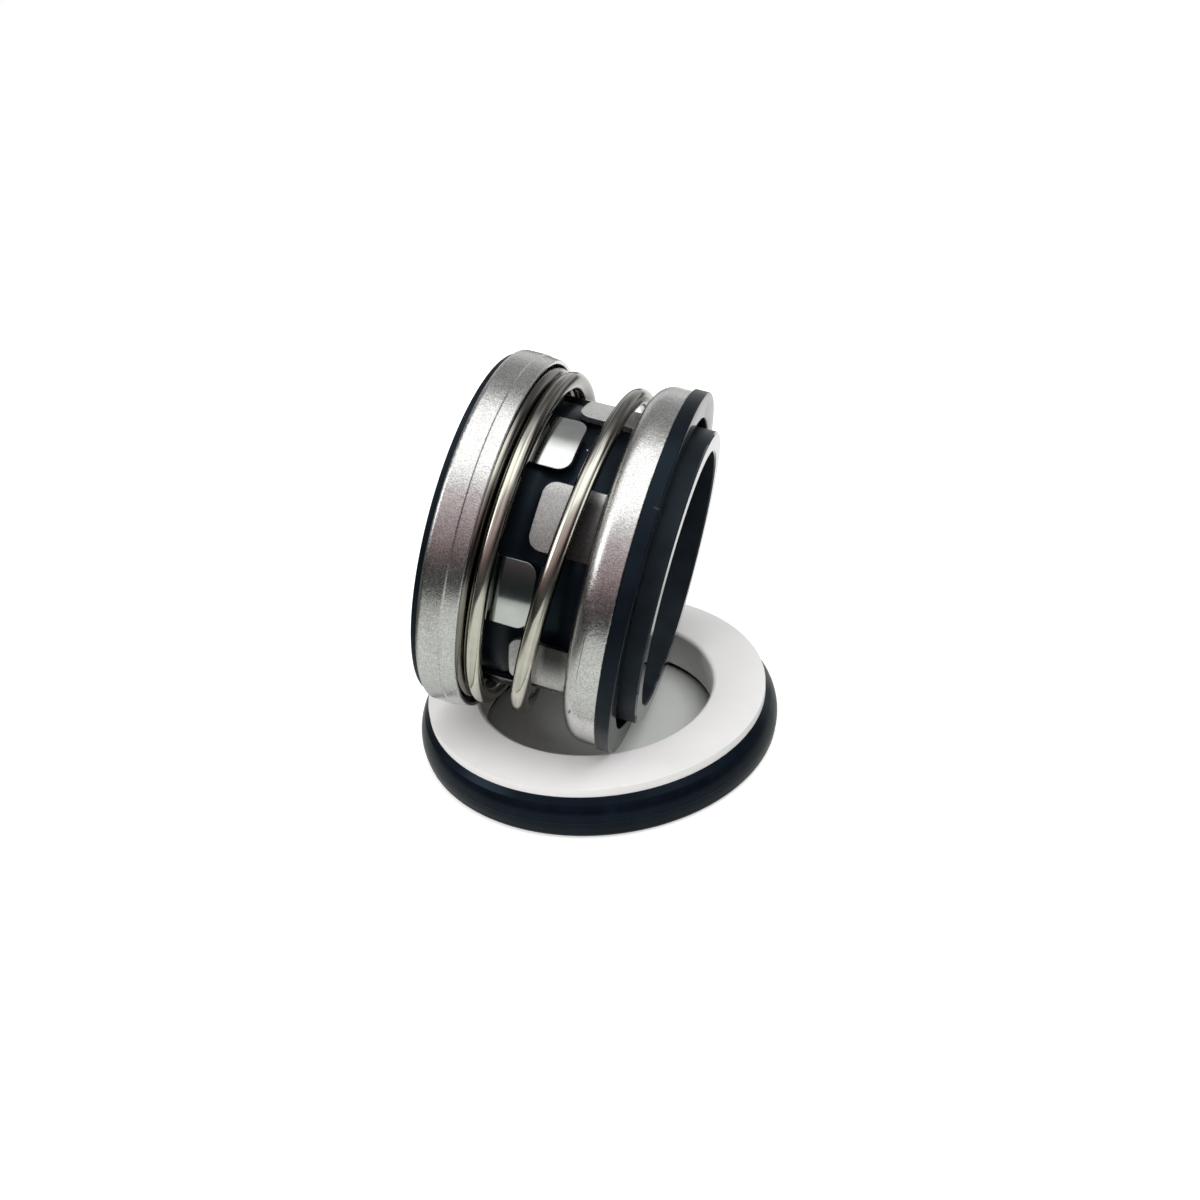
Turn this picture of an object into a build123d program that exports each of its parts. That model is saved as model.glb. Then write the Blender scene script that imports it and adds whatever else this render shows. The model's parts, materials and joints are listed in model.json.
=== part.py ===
from build123d import *
from math import cos, degrees, hypot, radians, sin, sqrt
import os

# Single-spring elastomer bellows shaft seal: the rotating head, leaning on its
# stationary seat.  Millimetres.  The seat lies flat on Z = 0 with its axis on Z.
# The head lies in the XZ plane, front end lower: its rear cup bears on the edge of
# the seat's hole and its front lip dips into the hole.  In every section of the
# head, X is the radius and Y the distance forward from the back of the rear cup.

# --- shaft and sheet ---
shaft_d = 30.0            # shaft that the bellows grips
sheet = 0.8               # stainless sheet of cups, band and tabs
fit_gap = 0.03            # between pieces that only bear on each other
rear_contact = 2.0        # the rear cup bears this far in front of its back

# --- rear cup, which holds the spring ---
holder_depth = 4.75
holder_step = 2.9         # where the rolled rim begins
rim_relief = 0.12         # the rolled rim is this much smaller in radius
rim_taper = 0.18          # and loses this much more towards its edge
holder_corner = 0.6
rim_edge = 0.2

# --- drive band and retainer tabs, interleaved round one cylinder ---
tab_count = 6
tab_angle = 24.5          # degrees that one tab covers
tab_corner = 1.5
collar_end = 5.3          # end of the drive band's unbroken collar
rear_tab = 6.4            # length of a drive band tab beyond the collar
front_tab = 7.3           # length of a retainer tab behind the web
first_rear_tab = 18.5     # degrees from the head's topmost line to a rear tab
root_round = 0.6

# --- spring ---
wire_d = 2.1
band_clear = 0.8          # spring to the tabs inside it
spring_clear = 0.35       # spring to the rear cup's inner wall
closed_turns = 2.55       # wound turn on turn in the rear cup
open_turns = 0.8          # climb towards the retainer
end_turns = 0.35          # gentler rise to the tip, which bears on the retainer
tip_rise = 0.87
spring_start = 114.5      # degrees from the topmost line to the wire's first end

# --- retainer, front cup ---
retainer_back = 17.1
retainer_depth = 4.4
shoulder_r = 2.3
bend_r = 0.5              # inside of the bend between web and tabs

# --- bellows ---
tail_wall = 2.32          # rubber between shaft and drive band
tail_flange_t = 0.75
tail_flange_inset = 0.7   # flange inside the rear cup's rim
tail_past_collar = 2.9    # the gripping tail ends this far in front of the collar
lead_in = 0.4             # chamfer that lets the shaft in
wall = 1.3                # thin flexible wall
wave_depth = 0.35
shaft_relief = 0.6        # flexible part clears the shaft by this
neck_gap = 0.15           # neck to the retainer's tabs
head_skin = 1.0           # rubber behind and round the face ring
lip_proud = 0.3           # lip stands this far outside the cups
lip_t = 1.67
lip_edge = 0.2
lip_hole_gap = 1.15       # lip's hole to the nose

# --- face ring ---
nose_clear = 0.85         # nose bore to the shaft
nose_width = 2.4
nose_proud = 2.05         # nose in front of the lip
shoulder_step = 0.2       # front of the ring's base in front of the retainer's rim
nose_chamfer = 0.2

# --- seat ---
seat_clear = 0.2          # seat bore to the shaft
seat_width = 6.8          # ceramic, from its hole to its rim
seat_height = 6.4
seat_rim = 1.1            # ceramic rim that overhangs the rubber
spigot_depth = 2.1        # the ceramic under its rim is this much smaller in radius
bore_round = 0.6
rim_round = 0.45
gasket_proud = 1.45       # rubber outside the ceramic rim
gasket_shoulder = 0.75    # the gasket's top edge is this far inside its equator
gasket_slope = 0.65       # and this far below the ceramic rim
gasket_corner = 1.1
gasket_draft = 0.1        # its side leans in this much over the bottom corner
gasket_grip = 0.1         # its top edge stands this far outside the ceramic rim
foot = 0.9                # rubber under the ceramic
foot_inset = 0.4

os.makedirs("parts", exist_ok=True)

shaft_r = shaft_d / 2
tail_r = shaft_r + tail_wall
tab_in = tail_r + fit_gap
tab_r = tab_in + sheet
spring_in = tab_r + band_clear
cup_in = spring_in + wire_d + spring_clear
cup_r = cup_in + sheet
rear_tab_tip = collar_end + rear_tab
front_tab_tip = retainer_back - front_tab
retainer_front = retainer_back + retainer_depth
lip_back = retainer_front + fit_gap
lip_face = lip_back + lip_t
lip_r = cup_r + lip_proud
nose_in = shaft_r + nose_clear
nose_r = nose_in + nose_width
nose_face = lip_face + nose_proud
bore_r = shaft_r + seat_clear
seat_r = bore_r + seat_width
spigot_r = seat_r - spigot_depth

# ---------------------------------------------------------------- resting place
# The cup's lowest line is tangent to the rounded edge of the hole.  At the front a
# rounded rim, of the lip or the nose, meets that edge once on each side, where the
# circles of their roundings touch; on a longer head it lies on the seat's flat top.


def head_place(lean):
    """Where the back of the rear cup has its centre, when the head leans this much."""
    rho = bore_r + bore_round * (1 - sin(lean)) - (cup_r + fit_gap) * sin(lean)
    height = seat_height - bore_round * (1 - cos(lean)) + (cup_r + fit_gap) * cos(lean)
    return -rho - rear_contact * cos(lean), height + rear_contact * sin(lean)


def front_clearance(lean):
    """Smallest gap between the seat's rounded edge or top and the rims of lip and nose."""
    x, z = head_place(lean)
    gaps = []
    for front, radius, edge in ((lip_face, lip_r, lip_edge), (nose_face, nose_r, nose_chamfer)):
        along, out = front - edge, radius - edge
        for angle in range(181):
            up, side = -out * cos(radians(angle / 2)), out * sin(radians(angle / 2))
            rim_x = x + along * cos(lean) + up * sin(lean)
            rim_z = z - along * sin(lean) + up * cos(lean)
            inward = max(bore_r + bore_round - hypot(rim_x, side), 0)
            above = max(rim_z - seat_height + bore_round, 0)
            gaps.append(hypot(inward, above) - edge - bore_round)
    return min(gaps)


level, steep = 0, radians(30)
while steep - level > 1e-7:
    lean = (level + steep) / 2
    if front_clearance(lean) > fit_gap:
        level = lean
    else:
        steep = lean
head_x, head_z = head_place(lean)

forward = Vector(cos(lean), 0, -sin(lean))
across = Vector(sin(lean), 0, cos(lean))
back_plane = Plane(origin=(head_x, 0, head_z), x_dir=across, z_dir=forward)
section = Plane(origin=(head_x, 0, head_z), x_dir=across, z_dir=across.cross(forward))
head_axis = Axis(back_plane.origin, forward)


def at(distance):
    """Plane across the head's axis, this far in front of the rear cup's back."""
    return back_plane.offset(distance)


# ---------------------------------------------------------------- seat ring
with BuildPart() as seat_ring:
    with BuildSketch(Plane.XZ) as ring_section:
        with BuildLine():
            Polyline(
                (bore_r, foot),
                (spigot_r, foot),
                (spigot_r, seat_height - seat_rim),
                (seat_r, seat_height - seat_rim),
                (seat_r, seat_height),
                (bore_r, seat_height),
                close=True,
            )
        make_face()
        top_edge = ring_section.vertices().group_by(Axis.Y)[-1].sort_by(Axis.X)
        fillet(top_edge[0], bore_round)
        fillet(top_edge[-1], rim_round)
    revolve(axis=Axis.Z)

# ---------------------------------------------------------------- seat gasket
gasket_r = seat_r + gasket_proud
gasket_top = seat_height - seat_rim
foot_r = bore_r + foot_inset

with BuildPart() as seat_gasket:
    with BuildSketch(Plane.XZ):
        with BuildLine():
            Line((foot_r, 0), (gasket_r - gasket_corner, 0))
            corner = RadiusArc(
                (gasket_r - gasket_corner, 0), (gasket_r - gasket_draft, gasket_corner), -gasket_corner
            )
            bulge = ThreePointArc(
                corner @ 1,
                (gasket_r, gasket_top / 2),
                (gasket_r - gasket_shoulder, gasket_top - gasket_slope),
            )
            Polyline(
                bulge @ 1,
                (seat_r + gasket_grip, gasket_top),
                (spigot_r, gasket_top),
                (spigot_r, foot),
                (foot_r, foot),
                (foot_r, 0),
            )
        make_face()
    revolve(axis=Axis.Z)

# ---------------------------------------------------------------- bellows
# One moulding: tail that grips the shaft, thin waved wall, and a head that wraps
# the face ring and ends in the front lip.
head_r = cup_in - fit_gap
head_back = retainer_back + sheet + fit_gap
pocket_back = head_back + head_skin
base_r = head_r - head_skin
relief_r = shaft_r + shaft_relief
neck_r = tab_in - neck_gap
flange_r = cup_r - tail_flange_inset
tail_end = collar_end + tail_past_collar
lip_in = nose_r + lip_hole_gap
ring_shoulder = retainer_front + shoulder_step
wave_r = relief_r + wall
wave_mid = (tail_end + retainer_back) / 2
wave_step = (retainer_back - tail_end) / 4

with BuildPart() as bellows:
    with BuildSketch(section) as rubber_section:
        with BuildLine():
            Polyline(
                (shaft_r, tail_end),
                (shaft_r, -tail_flange_t),
                (flange_r, -tail_flange_t),
                (flange_r, -fit_gap),
                (tail_r, -fit_gap),
                (tail_r, tail_end),
            )
            Spline(
                (tail_r, tail_end),
                (wave_r - wave_depth, tail_end + wave_step),
                (wave_r, wave_mid),
                (wave_r - wave_depth, wave_mid + wave_step),
                (neck_r, retainer_back),
            )
            Polyline(
                (neck_r, retainer_back),
                (neck_r, head_back),
                (head_r, head_back),
                (head_r, lip_back),
                (lip_r, lip_back),
                (lip_r, lip_face),
                (lip_in, lip_face),
                (lip_in, ring_shoulder + fit_gap),
                (base_r, ring_shoulder + fit_gap),
                (base_r, pocket_back),
                (relief_r, pocket_back),
                (relief_r, tail_end + shaft_relief),
                (shaft_r, tail_end),
            )
        make_face()
        lip_corners = rubber_section.vertices().group_by(Axis.Y)[-1].sort_by(Axis.X)
        fillet(lip_corners, lip_edge)
        flange_corners = rubber_section.vertices().group_by(Axis.Y)[0].sort_by(Axis.X)
        chamfer(flange_corners[0], lead_in)
        flange_corners = rubber_section.vertices().group_by(Axis.Y)[0].sort_by(Axis.X)
        fillet(flange_corners[-1], tail_flange_t / 3)
        shoulder = rubber_section.vertices().filter_by_position(Axis.Y, head_back, head_back)
        fillet(shoulder.sort_by(Axis.X)[-1], shoulder_r - sheet)
    revolve(axis=head_axis)

# ---------------------------------------------------------------- face ring
with BuildPart() as face_ring:
    with BuildSketch(section) as face_section:
        with BuildLine():
            Polyline(
                (nose_in, pocket_back + fit_gap),
                (base_r - fit_gap, pocket_back + fit_gap),
                (base_r - fit_gap, ring_shoulder),
                (nose_r, ring_shoulder),
                (nose_r, nose_face),
                (nose_in, nose_face),
                close=True,
            )
        make_face()
        chamfer(face_section.vertices().group_by(Axis.Y)[-1], nose_chamfer)
    revolve(axis=head_axis)

# ---------------------------------------------------------------- rear cup
rim_r = cup_r - rim_relief
rim_end_r = rim_r - rim_taper
holder_hole = tail_r + fit_gap

with BuildPart() as spring_holder:
    with BuildSketch(section) as holder_section:
        with BuildLine():
            Polyline(
                (holder_hole, 0),
                (cup_r, 0),
                (cup_r, holder_step),
                (rim_r, holder_step + rim_relief),
                (rim_end_r, holder_depth),
                (cup_in, holder_depth),
                (cup_in, sheet),
                (holder_hole, sheet),
                close=True,
            )
        make_face()
        back_edge = holder_section.vertices().group_by(Axis.Y)[0].sort_by(Axis.X)
        fillet(back_edge[-1], holder_corner)
        front_edge = holder_section.vertices().group_by(Axis.Y)[-1].sort_by(Axis.X)
        fillet(front_edge, rim_edge)
    revolve(axis=head_axis)


# ---------------------------------------------------------------- tabs
# Drive band and retainer carry the same tabs on the same cylinder, pointing at each
# other and half a pitch apart, so that the band turns the retainer.
tab_pitch = 360 / tab_count
gap_half = (tab_r - sheet / 2) * sin(radians((tab_pitch - tab_angle) / 2))
cut_floor = sqrt(tab_in**2 - (gap_half + tab_corner) ** 2) - sheet


def tab_window(root, tip):
    """Cutter for the gap between two tabs, with its radius along X and the head's axis
    along Z: rounded at the root, and wider past the tips to round the tabs' corners."""
    toward_tip = 1 if tip > root else -1
    corner_start = tip - toward_tip * tab_corner
    past_tip = tip + toward_tip * sheet
    with BuildPart() as window:
        with BuildSketch(Plane.YZ.offset(cut_floor)) as outline:
            with BuildLine():
                Polyline((0, root), (gap_half, root), (gap_half, corner_start))
                tab_end = TangentArc(
                    (gap_half, corner_start), (gap_half + tab_corner, tip), tangent=(0, toward_tip)
                )
                Polyline(tab_end @ 1, (gap_half + tab_corner, past_tip), (0, past_tip), (0, root))
            make_face()
            mirror(about=Plane.YZ)
            roots = outline.vertices().filter_by_position(Axis.Y, root, root)
            fillet(roots.sort_by(Axis.X)[0], root_round)
            roots = outline.vertices().filter_by_position(Axis.Y, root, root)
            fillet(roots.sort_by(Axis.X)[-1], root_round)
        extrude(amount=tab_r + sheet - cut_floor)
    return window.part


rear_window = tab_window(collar_end, rear_tab_tip)
front_window = tab_window(retainer_back, front_tab_tip)
first_rear_gap = first_rear_tab + tab_pitch / 2

# ---------------------------------------------------------------- drive band
with BuildPart(back_plane) as drive_band:
    with BuildSketch(at(sheet + fit_gap)):
        Circle(tab_r)
        Circle(tab_in, mode=Mode.SUBTRACT)
    extrude(amount=rear_tab_tip - sheet - fit_gap)
    with PolarLocations(0, tab_count, first_rear_gap):
        add(rear_window, mode=Mode.SUBTRACT)

# ---------------------------------------------------------------- retainer
with BuildPart(back_plane) as retainer:
    with BuildSketch(section):
        with BuildLine():
            FilletPolyline(
                (tab_in, front_tab_tip),
                (tab_r, front_tab_tip),
                (tab_r, retainer_back),
                (cup_r, retainer_back),
                (cup_r, retainer_front),
                (cup_in, retainer_front),
                (cup_in, retainer_back + sheet),
                (tab_in, retainer_back + sheet),
                radius=[0, 0, bend_r, shoulder_r, rim_edge, rim_edge, shoulder_r - sheet, bend_r + sheet],
                close=True,
            )
        make_face()
    revolve(axis=head_axis)
    with PolarLocations(0, tab_count, first_rear_tab):
        add(front_window, mode=Mode.SUBTRACT)

# ---------------------------------------------------------------- spring
wire_r = wire_d / 2
spring_r = spring_in + wire_r
first_turn = sheet + fit_gap + wire_r
last_turn = retainer_back - fit_gap - wire_r
closed_pitch = wire_d + fit_gap
tip_pitch = tip_rise / end_turns
points_per_turn = 12


def wire_height(turn):
    """Distance forward of the wire's centre: wound turn on turn, then a cubic that
    leaves at the closed pitch and arrives at the tip's, then evenly up to the tip."""
    if turn <= closed_turns:
        return first_turn + closed_pitch * turn
    past_climb = turn - closed_turns - open_turns
    high = last_turn - tip_rise
    if past_climb >= 0:
        return high + tip_pitch * past_climb
    climb = (turn - closed_turns) / open_turns
    low = first_turn + closed_pitch * closed_turns
    ease = climb * climb * (3 - 2 * climb)
    leave = climb * (1 - climb) ** 2 * open_turns * closed_pitch
    arrive = climb * climb * (1 - climb) * open_turns * tip_pitch
    return low + (high - low) * ease + leave - arrive


def wire_point(turn):
    """Centre of the wire; it turns against the right hand as it goes forward."""
    swing = across.rotate(Axis((0, 0, 0), forward), spring_start - 360 * turn)
    return at(wire_height(turn)).origin + swing * spring_r


all_turns = closed_turns + open_turns + end_turns
steps = round(all_turns * points_per_turn)

with BuildPart() as spring:
    with BuildLine() as wire_path:
        Spline([wire_point(all_turns * step / steps) for step in range(steps + 1)])
    with BuildSketch(Plane(origin=wire_path.line @ 0, z_dir=wire_path.line % 0)):
        Circle(wire_r)
    sweep(path=wire_path.line, is_frenet=True)

print(f"head at x {head_x:.4f} z {head_z:.4f}, leaning {degrees(lean):.3f} degrees")
pieces = {
    "seat_ring": seat_ring,
    "seat_gasket": seat_gasket,
    "bellows": bellows,
    "face_ring": face_ring,
    "spring_holder": spring_holder,
    "drive_band": drive_band,
    "retainer": retainer,
    "spring": spring,
}
for name, piece in pieces.items():
    piece.part.label = name
    export_step(piece.part, f"parts/{name}.step")
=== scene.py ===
import json
import math
import bpy
import numpy as np
from mathutils import Matrix, Vector


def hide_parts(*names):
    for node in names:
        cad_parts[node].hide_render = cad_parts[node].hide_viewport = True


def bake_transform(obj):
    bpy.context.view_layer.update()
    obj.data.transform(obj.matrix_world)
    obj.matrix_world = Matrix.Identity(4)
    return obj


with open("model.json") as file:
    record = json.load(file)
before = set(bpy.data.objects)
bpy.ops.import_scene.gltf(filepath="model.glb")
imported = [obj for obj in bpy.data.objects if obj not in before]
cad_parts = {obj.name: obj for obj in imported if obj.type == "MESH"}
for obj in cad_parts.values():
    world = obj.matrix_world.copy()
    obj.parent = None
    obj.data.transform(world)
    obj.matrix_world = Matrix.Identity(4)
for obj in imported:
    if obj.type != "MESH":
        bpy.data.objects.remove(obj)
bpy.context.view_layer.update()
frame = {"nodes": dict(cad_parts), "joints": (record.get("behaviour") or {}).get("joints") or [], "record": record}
print("frame loaded:", sorted(frame["nodes"]))

# Sizes and places in the dictionaries below are in millimetres, and angles in degrees.
mm = 0.001

# The head's axis: the slide joint points from the head's front to its back.
# "back" is the middle of the rear cup's back, and distances along the head start there.
head = {"gripMiddle": 3.925}   # middle of the gripping tail, ahead of the back
slideAxis = np.array(frame["joints"][0]["axis"], float)
forward = -slideAxis / np.linalg.norm(slideAxis)
across = np.array([-forward[2], 0.0, forward[0]])   # square to the axis, upwards
near = np.cross(forward, across)                    # square to both, on the camera's side
mounts = {mount["name"]: mount for mount in frame["record"]["mounts"]}
back = np.array(mounts["shaft_bore"]["pos_m"]) / mm - head["gripMiddle"] * forward


class Flow:
    # One shader socket. Arithmetic on it adds Math nodes to its tree.
    def __init__(self, tree, socket=None):
        self.tree = tree
        self.socket = socket

    def add(self, kind, settings=None, sockets=None, output=0):
        node = self.tree.nodes.new(kind)
        for key, value in (settings or {}).items():
            if key == "stops":
                ramp = node.color_ramp
                while len(ramp.elements) < len(value):
                    ramp.elements.new(0.5)
                for element, (position, shade) in zip(ramp.elements, value):
                    element.position = position
                    element.color = (*shade, 1)
            else:
                setattr(node, key, value)
        for key, value in (sockets or {}).items():
            if isinstance(value, Flow):
                self.tree.links.new(value.socket, node.inputs[key])
            else:
                node.inputs[key].default_value = value
        return Flow(self.tree, node.outputs[output])

    def math(self, operation, *values):
        return self.add("ShaderNodeMath", {"operation": operation}, dict(enumerate(values)))

    def __add__(self, other):
        return self.math("ADD", self, other)

    def __sub__(self, other):
        return self.math("SUBTRACT", self, other)

    def __rsub__(self, other):
        return self.math("SUBTRACT", other, self)

    def __mul__(self, other):
        return self.math("MULTIPLY", self, other)

    def __truediv__(self, other):
        return self.math("DIVIDE", self, other)

    def __rtruediv__(self, other):
        return self.math("DIVIDE", other, self)

    __radd__ = __add__
    __rmul__ = __mul__

    def dot(self, direction):
        sockets = {0: self, 1: tuple(direction)}
        return self.add("ShaderNodeVectorMath", {"operation": "DOT_PRODUCT"}, sockets, "Value")

    def scaled(self, factor):
        # a colour or vector times a number
        return self.add("ShaderNodeVectorMath", {"operation": "SCALE"}, {0: self, "Scale": factor})

    def noise(self, size, detail=2.0, rough=0.5):
        # size: of one blotch, in the unit of the place that it is called on
        sockets = {"Vector": self, "Scale": 1 / size, "Detail": detail, "Roughness": rough}
        return self.add("ShaderNodeTexNoise", None, sockets)

    def ramp(self, *stops):
        return self.add("ShaderNodeValToRGB", {"stops": stops}, {"Fac": self})

    def tones(self, dark, light, low=0.3, high=0.7):
        # the two colours lie where a noise has nearly its least and its greatest values
        return self.ramp((low, dark), (high, light))

    def mix(self, first, second, clamp=False):
        # Factor, A and B of a colour mix are its first, seventh and eighth sockets, and
        # the mixed colour is its third output. Clamp keeps it between black and white.
        first, second = (shade if isinstance(shade, Flow) else (*shade, 1) for shade in (first, second))
        settings = {"data_type": "RGBA", "clamp_result": clamp}
        return self.add("ShaderNodeMix", settings, {0: self, 6: first, 7: second}, 2)

    def between(self, low, high):
        # 0 below low, 1 above high, smooth in between
        return self.add("ShaderNodeMapRange", {"interpolation_type": "SMOOTHSTEP"},
                        {"Value": self, "From Min": low, "From Max": high})

    def inside(self, rise, fall):
        # climbs from 0 to 1 over the first range and falls back over the second
        return self.between(*rise) * (1 - self.between(*fall))

    def bump(self, relief, strength, edge=0.0):
        # edge: radius to which sharp edges look rounded
        sockets = {"Height": self, "Distance": relief * mm, "Strength": strength}
        if edge:
            sockets["Normal"] = self.add("ShaderNodeBevel", {"samples": 4}, {"Radius": edge * mm})
        return self.add("ShaderNodeBump", None, sockets)


def newMaterial(name, plain, varying):
    # plain: fixed socket values; varying: a function of the tree that returns linked sockets
    material = bpy.data.materials.new(name)
    material.use_nodes = True
    tree = material.node_tree
    shader = tree.nodes["Principled BSDF"]
    for key, value in plain.items():
        shader.inputs[key].default_value = (*value, 1) if hasattr(value, "__len__") else value
    for key, flow in varying(Flow(tree)).items():
        tree.links.new(flow.socket, shader.inputs[key])
    return material


def wear(node, material):
    # puts the material on a rigid piece
    frame["nodes"][node].data.materials.clear()
    frame["nodes"][node].data.materials.append(material)


def objectPlace(start):
    # Place in the shared frame, in millimetres
    return start.add("ShaderNodeTexCoord", output="Object").scaled(1 / mm)


def headPlace(start):
    # Place on the head in millimetres: ahead of its back, upwards, and towards the near side
    sockets = {0: objectPlace(start), 1: tuple(back)}
    shifted = start.add("ShaderNodeVectorMath", {"operation": "SUBTRACT"}, sockets)
    return [shifted.dot(direction) for direction in (forward, across, near)]


def joined(start, x, y, z):
    # three numbers as one vector or colour
    return start.add("ShaderNodeCombineXYZ", None, {0: x, 1: y, 2: z})


def stripes(start, place, facts):
    # A noise that changes at one pace along the first direction of the place and at another
    # across it, both in blotches per millimetre
    first, second, third = place
    stretched = joined(start, first * facts["along"], second * facts["across"], third * facts["across"])
    return stretched.noise(1.0, facts["detail"], facts["rough"])


def mark(start, place, facts):
    # 1 inside an ellipse laid on the cylinder of that radius, falling to 0 at its rim.
    # The angle counts from the head's topmost line towards the near side.
    ahead, up, side = place
    angle = start.math("ARCTAN2", side, up) - math.radians(facts["angle"])
    arc = angle * facts["radius"]
    step = ahead - facts["ahead"]
    cosine, sine = math.cos(math.radians(facts["lean"])), math.sin(math.radians(facts["lean"]))
    lengthwise = (step * cosine + arc * sine) / facts["halfLength"]
    crosswise = (arc * cosine - step * sine) / facts["halfWidth"]
    fadeStart = 0.3   # square of a place's distance from the middle, where the rim is 1
    return 1 - (lengthwise * lengthwise + crosswise * crosswise).between(fadeStart, 1.0)


# camera and light
view = {
    "place": (42.356, -122.814, 95.616), "target": (1.077, 1.477, 18.0),
    "roll": 5.265,    # clockwise
    "lens": 36.0, "sensor": 36.0, "nearest": 1.0,
}
cameraData = bpy.data.cameras.new("camera")
cameraData.lens = view["lens"]
cameraData.sensor_width = view["sensor"]
cameraData.clip_start = view["nearest"] * mm
camera = bpy.data.objects.new("camera", cameraData)
bpy.context.collection.objects.link(camera)
cameraPlace = Vector(view["place"]) * mm
look = Vector(view["target"]) * mm - cameraPlace
camera.matrix_world = (
    Matrix.Translation(cameraPlace)
    @ look.to_track_quat("-Z", "Y").to_matrix().to_4x4()
    @ Matrix.Rotation(math.radians(-view["roll"]), 4, "Z")
)
bpy.context.scene.camera = camera
bpy.context.scene.view_settings.view_transform = "Standard"

# The room as mirrors see it: a wide soft box overhead, a front wall that darkens downwards
# and a dim back wall that is pale near the floor. The angle goes from straight down behind
# (-180) over the top (0) to straight down in front (180).
studio = {
    "stops": (
        (-95, (0.85, 0.85, 0.85)),
        (-76, (0.60, 0.60, 0.60)),
        (-66, (0.32, 0.32, 0.32)),
        (-44, (0.25, 0.25, 0.25)),
        (-28, (0.33, 0.325, 0.325)),
        (-16.5, (1.45, 1.45, 1.44)),
        (26, (1.55, 1.55, 1.53)),
        (35, (0.76, 0.75, 0.74)),
        (44, (0.55, 0.48, 0.49)),
        (58, (0.42, 0.345, 0.355)),
        (69, (0.26, 0.195, 0.20)),
        (78, (0.12, 0.085, 0.088)),
        (90, (0.045, 0.048, 0.048)),
    ),
    # darker to the left and right: sines of the angles where that starts and is complete
    "sideStart": 0.50, "sideEnd": 0.95, "sideShade": 0.20,
    # one round soft lamp to the left and in front, for small highlights: its direction, and
    # how far from its middle it is full and has faded
    "lampToward": (-0.76, -0.39, 0.53), "lampInner": 6, "lampOuter": 18, "lampGlow": 2.4,
}
world = bpy.data.worlds.new("studio")
bpy.context.scene.world = world
world.use_nodes = True
worldTree = world.node_tree
sky = Flow(worldTree)
direction = sky.add("ShaderNodeTexCoord", output="Generated")
leanOver = sky.math("ARCTAN2", direction.dot((0, -1, 0)), direction.dot((0, 0, 1)))
turn = leanOver * (1 / (2 * math.pi)) + 0.5
peak = max(max(shade) for _, shade in studio["stops"])
skyStops = [(angle / 360 + 0.5, [part / peak for part in shade]) for angle, shade in studio["stops"]]
sideways = sky.math("ABSOLUTE", direction.dot((1, 0, 0))).between(studio["sideStart"], studio["sideEnd"])
walls = turn.ramp(*skyStops).scaled(1 - sideways * (1 - studio["sideShade"]))
toward = Vector(studio["lampToward"]).normalized()
lampRim, lampCore = (math.cos(math.radians(studio[key])) for key in ("lampOuter", "lampInner"))
room = direction.dot(toward).between(lampRim, lampCore).mix(walls, [studio["lampGlow"] / peak] * 3)
toCamera = sky.add("ShaderNodeLightPath", output="Is Camera Ray")
background = worldTree.nodes["Background"]
seen = toCamera.mix(room, [1 / peak] * 3)   # white behind the object
worldTree.links.new(seen.socket, background.inputs["Color"])
background.inputs["Strength"].default_value = peak

# soft lamps that light the matt surfaces and have no mirror image: one from above and
# one low from the front, which the seat's rim keeps out of its hole
lamps = {
    # height is above the floor, and compass is from the front towards +X
    "above": {"strength": 1.12, "height": 66, "compass": 75, "spread": 38},
    "front": {"strength": 0.98, "height": 27, "compass": -25, "spread": 25},
}
for name, facts in lamps.items():
    lampData = bpy.data.lights.new(name, "SUN")
    lampData.energy = facts["strength"]
    lampData.angle = math.radians(facts["spread"])
    lamp = bpy.data.objects.new(name, lampData)
    lamp.rotation_euler = (math.radians(90 - facts["height"]), 0, math.radians(facts["compass"]))
    lamp.visible_glossy = False
    bpy.context.collection.objects.link(lamp)

# pale table: its lit surface plus enough of its own white to vanish into the background,
# outside the seat only. It ends shortly in front of the seal, where the room is dark.
ground = {
    "side": 1500, "front": -140, "behind": 1500, "seatInside": 19,
    "shade": (0.74, 0.765, 0.745), "rough": 0.9, "lift": 0.5,
    # in mirror images the table is duller in front and at both sides
    "mirrorFront": (0.53, 0.545, 0.52), "mirrorBehind": (0.90, 0.91, 0.90),
    "behindStart": 20, "behindEnd": 50, "sideStart": 26, "sideEnd": 70, "sideShade": 0.15,
}
floorMesh = bpy.data.meshes.new("floor")
side, front, behind = (ground[key] * mm for key in ("side", "front", "behind"))
floorCorners = [(-side, front, 0), (side, front, 0), (side, behind, 0), (-side, behind, 0)]
floorMesh.from_pydata(floorCorners, [], [(0, 1, 2, 3)])
floor = bpy.data.objects.new("floor", floorMesh)
bpy.context.collection.objects.link(floor)


def floorSockets(start):
    spot = objectPlace(start)
    seenDirect = start.add("ShaderNodeLightPath", output="Is Camera Ray")
    inMirror = start.add("ShaderNodeLightPath", output="Is Glossy Ray")
    fromAxis = start.add("ShaderNodeVectorMath", {"operation": "LENGTH"}, {0: spot}, "Value")
    outside = start.math("GREATER_THAN", fromAxis, ground["seatInside"])
    farther = spot.dot((0, 1, 0)).between(ground["behindStart"], ground["behindEnd"])
    aside = start.math("ABSOLUTE", spot.dot((1, 0, 0))).between(ground["sideStart"], ground["sideEnd"])
    mirrored = farther.mix(ground["mirrorFront"], ground["mirrorBehind"])
    mirrored = mirrored.scaled(1 - aside * (1 - ground["sideShade"]))
    glow = seenDirect * outside
    return {
        "Base Color": inMirror.mix(ground["shade"], mirrored),
        "Emission Color": joined(start, glow, glow, glow),
    }


floorPlain = {"Roughness": ground["rough"], "Specular IOR Level": 0.0, "Emission Strength": ground["lift"]}
floorMesh.materials.append(newMaterial("paleFloor", floorPlain, floorSockets))
print("camera, light and floor set")

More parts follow.
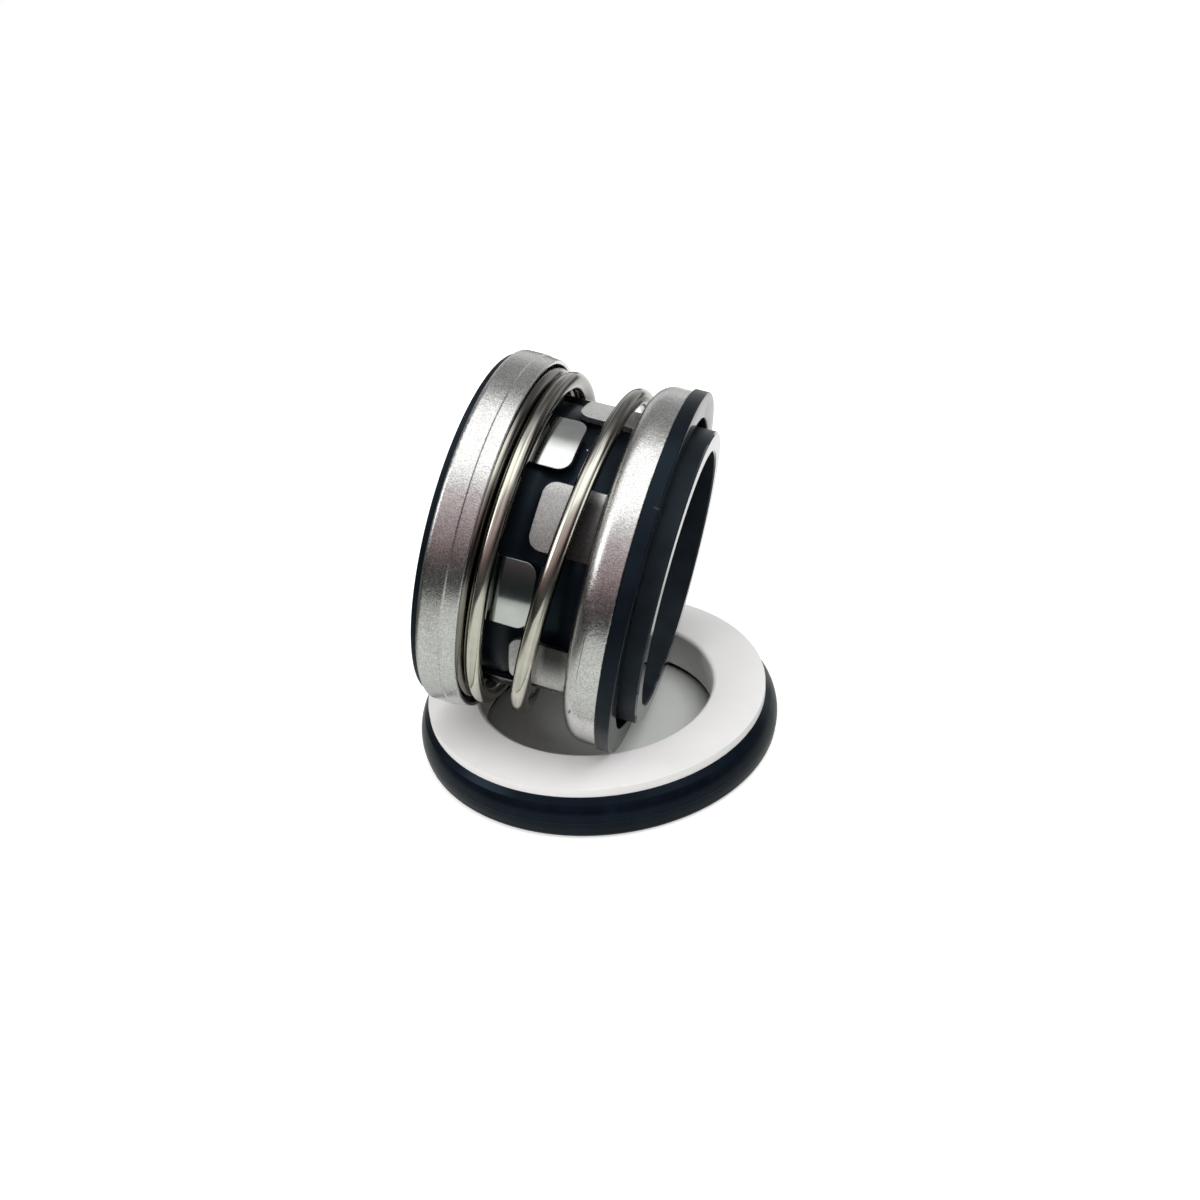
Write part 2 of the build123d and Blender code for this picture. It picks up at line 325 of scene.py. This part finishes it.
# In the dictionaries of the finishes, grain, mottle and cloud are noises: size of a
# blotch, detail and roughness. Relief is in millimetres for a noise of 1.

# ceramic seat: fine ground alumina
ceramic = {
    "grain": (0.12, 3.0, 0.6), "cloud": (6.0, 3.0),
    "dark": (0.865, 0.86, 0.855), "light": (0.90, 0.90, 0.895), "gloss": 0.35,
    "rough": 0.34, "roughGrain": 0.16, "relief": 0.004, "reliefStrength": 0.5,
}


def ceramicSockets(start):
    spot = objectPlace(start)
    grain = spot.noise(*ceramic["grain"])
    cloud = spot.noise(*ceramic["cloud"])
    return {
        "Base Color": cloud.tones(ceramic["dark"], ceramic["light"]),
        "Roughness": grain * ceramic["roughGrain"] + ceramic["rough"],
        "Normal": grain.bump(ceramic["relief"], ceramic["reliefStrength"]),
    }


wear("seat_ring", newMaterial("groundAlumina", {"Specular IOR Level": ceramic["gloss"]}, ceramicSockets))

# gloss of rubber and carbon, with a blue cast
darkGloss = {"Specular IOR Level": 0.18, "Specular Tint": (0.55, 0.78, 1.0)}

# gasket: moulded, nearly black, smoother than the bellows, with a thin line of flash
gasket = {
    "grain": (0.16, 3.0, 0.65), "cloud": (3.0, 3.0),
    "dark": (0.0021, 0.00364, 0.0063), "light": (0.0039, 0.00676, 0.0117),
    "rough": 0.13, "roughCloud": 0.16,
    "flashHeight": 2.55, "flashFull": 0.02, "flashGone": 0.10,
    "reliefGrain": 0.002, "reliefFlash": 0.03, "reliefCloud": 0.02, "reliefStrength": 0.7,
}


def gasketSockets(start):
    spot = objectPlace(start)
    grain = spot.noise(*gasket["grain"])
    cloud = spot.noise(*gasket["cloud"])
    offFlash = start.math("ABSOLUTE", spot.dot((0, 0, 1)) - gasket["flashHeight"])
    flash = 1 - offFlash.between(gasket["flashFull"], gasket["flashGone"])
    relief = grain * gasket["reliefGrain"] + flash * gasket["reliefFlash"] + cloud * gasket["reliefCloud"]
    return {
        "Base Color": cloud.tones(gasket["dark"], gasket["light"]),
        "Roughness": cloud * gasket["roughCloud"] + gasket["rough"],
        "Normal": relief.bump(1.0, gasket["reliefStrength"]),
    }


wear("seat_gasket", newMaterial("gasketRubber", darkGloss, gasketSockets))

steelEdge = 0.16   # radius to which the edges of the sheet look rounded

# pressed sheet: fine even grain and faint lines round the axis from drawing. The tabs
# between the cups are rougher, with painted light at the very top of the head, painted shade
# around its middle and the darkest painted shade at their roots there.
satin = {
    "grain": (0.17, 2.0, 0.7), "mottle": (0.55, 2.0, 0.6), "cloud": (2.6, 2.0),
    "lines": {"along": 9, "across": 0.15, "detail": 3.0, "rough": 0.7},
    "dark": (0.63, 0.63, 0.62), "light": (0.80, 0.80, 0.79), "speckle": 1.7,
    # where things change, from start to end of each change: ahead of the back
    "rearCup": (5.0, 5.2), "frontCup": (15.6, 16.9), "rootStart": (13.0, 14.2), "rootEnd": (16.6, 17.4),
    # and above the axis
    "middleStart": (-9, -3), "middleEnd": (13.5, 15.5), "top": (14.5, 16.0),
    # painted light at the top of the tabs, and painted shade around the middle and at the roots
    "topPaintedLight": 0.40, "middlePaintedShade": 0.28, "middleShadeCloud": 0.24, "rootPaintedShade": 0.88,
    "rough": 0.06, "roughGrain": 0.16, "roughLines": 0.08, "roughMottle": 0.08, "roughTabs": 0.28,
    "relief": 0.018, "reliefLines": 0.4, "reliefMottle": 0.8, "reliefStrength": 0.85,
    # marks on the retainer
    "nick": {"radius": 22.2, "ahead": 18.4, "angle": 110.7,
             "halfLength": 0.16, "halfWidth": 0.75, "lean": 12},
    "scratch": {"radius": 22.2, "ahead": 18.95, "angle": 86.0,
                "halfLength": 0.045, "halfWidth": 5.5, "lean": 1.5},
    "markShade": (0.18, 0.17, 0.16),
}


def satinSockets(start):
    place = headPlace(start)
    ahead, up, _ = place
    spot = objectPlace(start)
    grain = spot.noise(*satin["grain"])
    mottle = spot.noise(*satin["mottle"])
    cloud = spot.noise(*satin["cloud"])
    lines = stripes(start, place, satin["lines"])
    tabs = ahead.inside(satin["rearCup"], satin["frontCup"])
    middle = up.inside(satin["middleStart"], satin["middleEnd"])
    # painted shade at the tab roots and around the middle, painted light at the top
    shadedRoots = ahead.inside(satin["rootStart"], satin["rootEnd"]) * middle
    middleShading = middle * (cloud * satin["middleShadeCloud"] + satin["middlePaintedShade"])
    tabLightAndShade = 1 + tabs * (up.between(*satin["top"]) * satin["topPaintedLight"] - middleShading)
    speckle = (grain - 0.5) * satin["speckle"] + 1
    bare = ((mottle + cloud) * 0.5).tones(satin["dark"], satin["light"])
    plain = bare.scaled(speckle * tabLightAndShade * (1 - shadedRoots * satin["rootPaintedShade"]))
    marks = mark(start, place, satin["nick"]) + mark(start, place, satin["scratch"])
    rough = grain * satin["roughGrain"] + lines * satin["roughLines"] + mottle * satin["roughMottle"]
    relief = grain + lines * satin["reliefLines"] + mottle * satin["reliefMottle"]
    return {
        "Base Color": start.math("MINIMUM", marks, 1.0).mix(plain, satin["markShade"], clamp=True),
        "Roughness": rough + tabs * satin["roughTabs"] + satin["rough"],
        "Normal": relief.bump(satin["relief"], satin["reliefStrength"], steelEdge),
    }


pressedSteel = newMaterial("pressedSteel", {"Metallic": 1.0}, satinSockets)
wear("spring_holder", pressedSteel)
wear("retainer", pressedSteel)

# drive band: polished sheet with faint turning lines, and painted shade on one tab
polished = {
    "cloud": (1.8, 2.0), "lines": {"along": 14, "across": 0.3, "detail": 3.0, "rough": 0.7},
    "dark": (0.63, 0.655, 0.64), "light": (0.72, 0.74, 0.725), "paintedShade": (0.30, 0.36, 0.35),
    # where the painted shade starts and ends: ahead of the back, towards the near side, upwards
    "paintedShadeAhead": (6.5, 7.5), "paintedShadeSide": (12, 14), "paintedShadeBottom": (1.5, 4.5), "paintedShadeTop": (8.5, 10),
    "rough": 0.05, "roughLines": 0.08, "roughCloud": 0.05, "relief": 0.0015, "reliefStrength": 0.5,
}


def polishedSockets(start):
    place = headPlace(start)
    ahead, up, side = place
    cloud = objectPlace(start).noise(*polished["cloud"])
    lines = stripes(start, place, polished["lines"])
    onTab = ahead.between(*polished["paintedShadeAhead"]) * side.between(*polished["paintedShadeSide"])
    # painted shade on the upper part of one tab
    paintedShade = onTab * up.inside(polished["paintedShadeBottom"], polished["paintedShadeTop"])
    clean = cloud.tones(polished["dark"], polished["light"])
    return {
        "Base Color": paintedShade.mix(clean, polished["paintedShade"]),
        "Roughness": lines * polished["roughLines"] + cloud * polished["roughCloud"] + polished["rough"],
        "Normal": lines.bump(polished["relief"], polished["reliefStrength"], steelEdge),
    }


wear("drive_band", newMaterial("polishedSteel", {"Metallic": 1.0}, polishedSockets))

# carbon face ring: dull sides, lapped front face
carbon = {
    "grain": (0.1, 2.0, 0.6), "cloud": (3.0, 2.0),
    "dark": (0.012, 0.016, 0.021), "light": (0.019, 0.025, 0.031), "gloss": 0.13,
    "lapped": (25.0, 25.1),   # ahead of the back
    "rough": 0.34, "roughGrain": 0.08, "lappedSmoother": 0.31, "lappedCoat": 0.7,
    "relief": 0.003, "reliefStrength": 0.4,
}


def carbonSockets(start):
    ahead, _, _ = headPlace(start)
    spot = objectPlace(start)
    grain = spot.noise(*carbon["grain"])
    cloud = spot.noise(*carbon["cloud"])
    lapped = ahead.between(*carbon["lapped"])
    return {
        "Base Color": cloud.tones(carbon["dark"], carbon["light"]),
        "Roughness": grain * carbon["roughGrain"] + carbon["rough"] - lapped * carbon["lappedSmoother"],
        "Coat Weight": lapped * carbon["lappedCoat"],
        "Normal": (grain * (1 - lapped)).bump(carbon["relief"], carbon["reliefStrength"]),
    }


carbonGloss = {**darkGloss, "Specular IOR Level": carbon["gloss"]}
wear("face_ring", newMaterial("lappedCarbon", carbonGloss, carbonSockets))
print("materials of the rigid pieces set")


def rounded(corners, pieces=5):
    # Closed outline of (radius, distance, rounding) corners. A rounded corner becomes an
    # arc that touches both sides, its points evenly spaced in angle.
    places = np.array([corner[:2] for corner in corners], float)
    outline = []
    for place, before, after, corner in zip(places, np.roll(places, 1, 0), np.roll(places, -1, 0), corners):
        size = corner[2] if len(corner) > 2 else 0
        if size == 0:
            outline.append(place[None])
            continue
        toBefore = (before - place) / np.linalg.norm(before - place)
        toAfter = (after - place) / np.linalg.norm(after - place)
        half = math.acos(toBefore @ toAfter) / 2
        middle = (toBefore + toAfter) / np.linalg.norm(toBefore + toAfter)
        centre = place + middle * size / math.sin(half)
        sweep = (math.pi / 2 - half) * np.linspace(-1, 1, pieces + 1)
        sideStep = toAfter - toBefore
        sideStep = sideStep / np.linalg.norm(sideStep)
        outline.append(centre + size * (np.outer(np.sin(sweep), sideStep) - np.outer(np.cos(sweep), middle)))
    return np.concatenate(outline)


def gridMesh(name, points, capped=False, sharpAngle=35):
    # Grid point (i, j) joins (i + 1, j + 1) by one face. Columns wrap, and so do rows unless
    # the first and the last row are capped. Faces that meet at a greater angle keep an edge.
    rows, columns = points.shape[:2]
    number = np.arange(rows * columns).reshape(rows, columns)
    nextRow = np.roll(number, -1, 0)
    quads = np.stack([number, nextRow, np.roll(nextRow, -1, 1), np.roll(number, -1, 1)], -1)
    if capped:
        quads = quads[:-1]
    faces = quads.reshape(-1, 4).tolist()
    if capped:
        faces += [number[0].tolist(), number[-1, ::-1].tolist()]
    mesh = bpy.data.meshes.new(name)
    mesh.from_pydata((points.reshape(-1, 3) * mm).tolist(), [], faces)
    mesh.update()
    mesh.shade_smooth()
    mesh.set_sharp_from_angle(angle=math.radians(sharpAngle))
    piece = bpy.data.objects.new(name, mesh)
    bpy.context.collection.objects.link(piece)
    return piece


def ringDirection(angle):
    # Unit vectors square to the head's axis, at these angles from its topmost line
    return np.cos(angle)[..., None] * across + np.sin(angle)[..., None] * near


# bellows: one moulding, an outline carried round the head's axis. Its thin wall is a
# straight line from tail to neck, less two waves and one broad dip (sines squared).
bellows = {
    "shaft": 15.0, "tail": 17.32, "tailEnd": 8.2, "leadIn": 0.4,
    "flange": 21.5, "flangeThickness": 0.75, "flangeRound": 0.25, "cupGap": 0.03,
    "neck": 17.2, "neckStart": 17.1, "waveDepth": 0.56, "dipDepth": 0.36, "wallPoints": 33,
    "headBack": 17.93, "headRadius": 21.37, "shoulderRound": 1.5,
    "lipBack": 21.53, "lipRadius": 22.5, "lipFace": 23.2, "lipRound": 0.2, "lipHole": 19.4,
    "ringFront": 21.73, "pocketRadius": 20.37, "pocketBack": 18.93, "relief": 15.6, "reliefStart": 8.8,
    "pointsAround": 240,
}


def bellowsOutline(sizes):
    # (radius, distance) points: round the rear flange, forwards along the wall's outside,
    # round the front and backwards along the wall's inside
    run = np.linspace(0, 1, sizes["wallPoints"])
    wall = sizes["tail"] + (sizes["neck"] - sizes["tail"]) * run
    wall -= sizes["dipDepth"] * np.sin(np.pi * run) ** 2 + sizes["waveDepth"] * np.sin(2 * np.pi * run) ** 2
    wallPlace = sizes["tailEnd"] + (sizes["neckStart"] - sizes["tailEnd"]) * run
    rear = rounded([
        (sizes["shaft"], sizes["tailEnd"]),
        (sizes["shaft"], sizes["leadIn"] - sizes["flangeThickness"]),
        (sizes["shaft"] + sizes["leadIn"], -sizes["flangeThickness"]),
        (sizes["flange"], -sizes["flangeThickness"], sizes["flangeRound"]),
        (sizes["flange"], -sizes["cupGap"]),
        (sizes["tail"], -sizes["cupGap"]),
    ])
    front = rounded([
        (sizes["neck"], sizes["headBack"]),
        (sizes["headRadius"], sizes["headBack"], sizes["shoulderRound"]),
        (sizes["headRadius"], sizes["lipBack"]),
        (sizes["lipRadius"], sizes["lipBack"]),
        (sizes["lipRadius"], sizes["lipFace"], sizes["lipRound"]),
        (sizes["lipHole"], sizes["lipFace"], sizes["lipRound"]),
        (sizes["lipHole"], sizes["ringFront"]),
        (sizes["pocketRadius"], sizes["ringFront"]),
        (sizes["pocketRadius"], sizes["pocketBack"]),
        (sizes["relief"], sizes["pocketBack"]),
    ])
    innerPlace = np.linspace(sizes["neckStart"], sizes["reliefStart"], sizes["wallPoints"])
    inner = np.stack([np.full_like(innerPlace, sizes["relief"]), innerPlace], -1)
    return np.concatenate([rear, np.stack([wall, wallPlace], -1), front, inner])


outline = bellowsOutline(bellows)
radii, distances = outline[:, 0, None], outline[:, 1, None]
swing = np.linspace(0, 2 * np.pi, bellows["pointsAround"], endpoint=False)
bellowsPoints = back + distances * forward + radii * ringDirection(swing)[:, None]
bellowsPiece = gridMesh("bellows_moulding", bellowsPoints)

# bellows rubber: fine grain and faint rings, a smoother lip, a pale fleck on the waved
# wall and a nick in the lip
rubber = {
    "grain": (0.16, 3.0, 0.65), "cloud": (3.5, 3.0),
    "lines": {"along": 6, "across": 0.25, "detail": 2.0, "rough": 0.5},
    "dark": (0.0025, 0.0042, 0.0065), "light": (0.0055, 0.0085, 0.0125), "pale": (0.6, 0.62, 0.62),
    "fleck": {"radius": 16.9, "ahead": 12.48, "angle": 16.0,
              "halfLength": 0.16, "halfWidth": 0.10, "lean": 30},
    "nick": {"radius": 22.5, "ahead": 22.9, "angle": 41.0,
             "halfLength": 0.5, "halfWidth": 0.14, "lean": 8},
    "fleckPale": 0.9, "nickPale": 0.05,
    "lipFace": (23.05, 23.15),   # ahead of the back
    "rough": 0.24, "roughCloud": 0.10, "roughLines": 0.12, "lipSmoother": 0.20,
    "reliefGrain": 0.003, "reliefLines": 0.006, "nickDepth": 0.03, "reliefStrength": 0.6,
}


def rubberSockets(start):
    place = headPlace(start)
    spot = objectPlace(start)
    grain = spot.noise(*rubber["grain"])
    cloud = spot.noise(*rubber["cloud"])
    lines = stripes(start, place, rubber["lines"])
    onLip = place[0].between(*rubber["lipFace"])
    fleck = mark(start, place, rubber["fleck"])
    nick = mark(start, place, rubber["nick"])
    plain = cloud.tones(rubber["dark"], rubber["light"])
    rough = cloud * rubber["roughCloud"] + lines * rubber["roughLines"] + rubber["rough"]
    relief = grain * rubber["reliefGrain"] + lines * rubber["reliefLines"] - nick * rubber["nickDepth"]
    return {
        "Base Color": (fleck * rubber["fleckPale"] + nick * rubber["nickPale"]).mix(plain, rubber["pale"]),
        "Roughness": rough - onLip * rubber["lipSmoother"],
        "Normal": relief.bump(1.0, rubber["reliefStrength"]),
    }


bellowsPiece.data.materials.append(newMaterial("bellowsRubber", darkGloss, rubberSockets))
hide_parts("bellows")
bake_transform(bellowsPiece)
print("bellows made")

# spring: a round wire carried along a left-handed coil, with closed turns in the rear cup,
# most of one open turn that climbs to the retainer, and a tip that lies on the retainer
spring = {
    "wire": 2.1, "coilRadius": 20.0, "startAngle": 114.5,
    "firstHeight": 1.88, "closedPitch": 2.13, "closedTurns": 2.55,
    "openTurns": 0.8, "tipTurns": 0.35, "tipRise": 0.87, "lastHeight": 16.02,
    "endEdge": 0.25, "ringsPerTurn": 110, "pointsAround": 28,
}


def wireHeight(turn, sizes):
    # Closed turns rise by the wire's thickness; the open turn is a cubic that leaves at
    # that pitch and arrives at the tip's; the tip rises evenly
    tipPitch = sizes["tipRise"] / sizes["tipTurns"]
    low = sizes["firstHeight"] + sizes["closedPitch"] * sizes["closedTurns"]
    high = sizes["lastHeight"] - sizes["tipRise"]
    climb = np.clip((turn - sizes["closedTurns"]) / sizes["openTurns"], 0, 1)
    rise = low + (high - low) * climb**2 * (3 - 2 * climb)
    rise += sizes["openTurns"] * climb * (1 - climb) * (sizes["closedPitch"] * (1 - climb) - tipPitch * climb)
    rise += sizes["closedPitch"] * np.minimum(turn - sizes["closedTurns"], 0)
    return rise + tipPitch * np.maximum(turn - sizes["closedTurns"] - sizes["openTurns"], 0)


def wireRings(sizes):
    # Rings square to the coil's centre line, the first and the last one smaller by the
    # filed edge: their centres, two directions in each, radii and distances along the wire
    turns = sizes["closedTurns"] + sizes["openTurns"] + sizes["tipTurns"]
    steps = round(turns * sizes["ringsPerTurn"])
    turn = np.linspace(0, turns, steps + 1)
    outward = ringDirection(np.radians(sizes["startAngle"] - 360 * turn))
    centre = back + wireHeight(turn, sizes)[:, None] * forward + sizes["coilRadius"] * outward
    tangent = np.gradient(centre, axis=0)
    tangent /= np.linalg.norm(tangent, axis=1)[:, None]
    outward -= np.sum(outward * tangent, 1)[:, None] * tangent
    outward /= np.linalg.norm(outward, axis=1)[:, None]
    sideways = np.cross(tangent, outward)
    radius = np.full(steps + 1, sizes["wire"] / 2)
    radius[[0, -1]] -= sizes["endEdge"]
    distance = np.linalg.norm(np.diff(centre, axis=0), axis=1).cumsum()
    return centre, outward, sideways, radius, np.concatenate([[0], distance])


centre, outward, sideways, wireRadius, distance = wireRings(spring)
roundTurn = np.linspace(0, 2 * np.pi, spring["pointsAround"], endpoint=False)[:, None]
ringOffset = np.cos(roundTurn) * outward[:, None] + np.sin(roundTurn) * sideways[:, None]
ringOffset *= wireRadius[:, None, None]
springPiece = gridMesh("spring_wire", centre[:, None] + ringOffset, capped=True)

# where a point of the wire is: along its length, outwards from the coil, and along its axis
wirePlace = np.zeros(ringOffset.shape)
wirePlace[..., 0] = distance[:, None]
wirePlace[..., 1:] = np.hstack([np.cos(roundTurn), np.sin(roundTurn)]) * spring["wire"] / 2
placeLayer = springPiece.data.attributes.new("wirePlace", "FLOAT_VECTOR", "POINT")
placeLayer.data.foreach_set("vector", wirePlace.ravel())

# drawn wire with a slight straw tint and streaks along its length. Its outer side has a
# painted highlight and the rest painted shade. Low on the coil the painted highlight is wider
# and high up narrower, and the turns deep in the cup have painted shade.
drawn = {
    "streaks": {"along": 0.05, "across": 3.2, "detail": 3.0, "rough": 0.7}, "cloud": (2.0, 2.0),
    "streakShare": 0.75, "cloudShare": 0.25,
    "dark": (0.52, 0.505, 0.44), "light": (0.86, 0.84, 0.74), "toneLow": 0.32, "toneHigh": 0.62,
    "flankPaintedShade": (0.225, 0.215, 0.20),
    # where the painted highlight starts and is complete: 0 is halfway through the wire and 1 outermost
    "highlightSpan": (0.42, 0.92), "ragged": 1.7, "lowHighlightWider": 0.8, "highHighlightNarrower": 0.5,
    "lowEnd": (-4, 6), "highStart": (16.5, 19.5),   # above the axis
    "cupTurns": (0.95, 1.45), "cupShade": 0.25,     # turns from the wire's first end
    "rough": 0.05, "roughStreaks": 0.16, "relief": 0.02, "reliefStrength": 0.5,
}


def drawnSockets(start):
    spot = start.add("ShaderNodeAttribute", {"attribute_name": "wirePlace"}, output="Vector")
    lengthwise, outwards, sidewards = (spot.dot(unit) for unit in np.eye(3))
    streaks = stripes(start, (lengthwise, outwards, sidewards), drawn["streaks"])
    cloud = spot.noise(*drawn["cloud"])
    tone = streaks * drawn["streakShare"] + cloud * drawn["cloudShare"]
    bright = tone.tones(drawn["dark"], drawn["light"], drawn["toneLow"], drawn["toneHigh"])
    _, up, _ = headPlace(start)
    low = 1 - up.between(*drawn["lowEnd"])
    high = up.between(*drawn["highStart"])
    outermost = outwards / (spring["wire"] / 2) + (streaks - 0.5) * drawn["ragged"]
    # painted highlight on the outer side, painted shade elsewhere
    paintedHighlight = (outermost + low * drawn["lowHighlightWider"] - high * drawn["highHighlightNarrower"]).between(*drawn["highlightSpan"])
    outOfCup = (lengthwise / (2 * math.pi * spring["coilRadius"])).between(*drawn["cupTurns"])
    # painted shade on the turns deep in the cup
    cupShading = outOfCup * (1 - drawn["cupShade"]) + drawn["cupShade"]
    return {
        "Base Color": paintedHighlight.mix(drawn["flankPaintedShade"], bright).scaled(cupShading),
        "Roughness": streaks * drawn["roughStreaks"] + drawn["rough"],
        "Normal": streaks.bump(drawn["relief"], drawn["reliefStrength"]),
    }


springPiece.data.materials.append(newMaterial("drawnWire", {"Metallic": 1.0}, drawnSockets))
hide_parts("spring")

# Every ring is shrunk to the wire's centre while the transform is baked into the mesh,
# and then put back.
wireMesh = springPiece.data
ringPlaces = np.empty(len(wireMesh.vertices) * 3, np.float32)
wireMesh.vertices.foreach_get("co", ringPlaces)
centrePlaces = np.repeat(centre * mm, spring["pointsAround"], axis=0)
wireMesh.vertices.foreach_set("co", centrePlaces.astype(np.float32).ravel())
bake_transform(springPiece)
wireMesh.vertices.foreach_set("co", ringPlaces)
wireMesh.update()
print("spring made")
